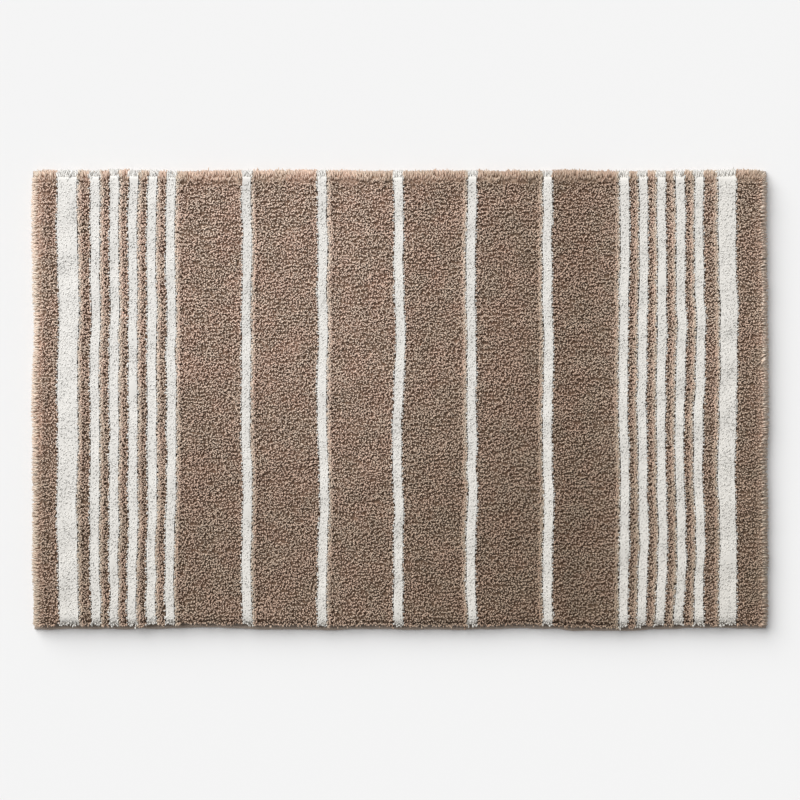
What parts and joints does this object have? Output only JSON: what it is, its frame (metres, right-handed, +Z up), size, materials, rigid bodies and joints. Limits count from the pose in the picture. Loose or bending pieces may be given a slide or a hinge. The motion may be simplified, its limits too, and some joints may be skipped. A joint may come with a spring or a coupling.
{
  "type": "bath mat",
  "caption": "Rectangular tufted bath mat with short dense pile in taupe, white stripes across it, a folded tape hem and an anti-slip latex back.",
  "frame": {"origin": "centre of the mat's outline on the floor plane, at the underside of the latex coating", "axes": "+X along the mat's length, across the stripes, +Y across the mat, along the stripes, +Z up through the pile"},
  "size_m": [0.8636, 0.54, 0.018],
  "materials": {
    "taupe_yarn": "curly cut cotton yarn, taupe, matte",
    "white_yarn": "curly cut cotton yarn, warm white, matte",
    "backing_cloth": "plain woven cotton cloth, unbleached",
    "latex": "sprayed latex, off-white, slightly glossy",
    "hem_tape": "twill tape, greyish taupe, matte",
    "seam_thread": "spun sewing thread, taupe"
  },
  "bodies": {
    "root": {"pile_taupe_01": "taupe_yarn", "pile_taupe_02": "taupe_yarn", "pile_taupe_03": "taupe_yarn", "pile_taupe_04": "taupe_yarn", "pile_taupe_05": "taupe_yarn", "pile_taupe_06": "taupe_yarn", "pile_taupe_07": "taupe_yarn", "pile_taupe_08": "taupe_yarn", "pile_taupe_09": "taupe_yarn", "pile_taupe_10": "taupe_yarn", "pile_taupe_11": "taupe_yarn", "pile_taupe_12": "taupe_yarn", "pile_taupe_13": "taupe_yarn", "pile_taupe_14": "taupe_yarn", "pile_taupe_15": "taupe_yarn", "pile_taupe_16": "taupe_yarn", "pile_taupe_17": "taupe_yarn", "pile_taupe_18": "taupe_yarn", "pile_white_01": "white_yarn", "pile_white_02": "white_yarn", "pile_white_03": "white_yarn", "pile_white_04": "white_yarn", "pile_white_05": "white_yarn", "pile_white_06": "white_yarn", "pile_white_07": "white_yarn", "pile_white_08": "white_yarn", "pile_white_09": "white_yarn", "pile_white_10": "white_yarn", "pile_white_11": "white_yarn", "pile_white_12": "white_yarn", "pile_white_13": "white_yarn", "pile_white_14": "white_yarn", "pile_white_15": "white_yarn", "pile_white_16": "white_yarn", "pile_white_17": "white_yarn", "primary_backing": "backing_cloth", "latex_coating": "latex", "hem_front": "hem_tape", "hem_right": "hem_tape", "hem_back": "hem_tape", "hem_left": "hem_tape", "seam_needle_thread": "seam_thread", "seam_bobbin_thread": "seam_thread"}
  },
  "joints": []
}
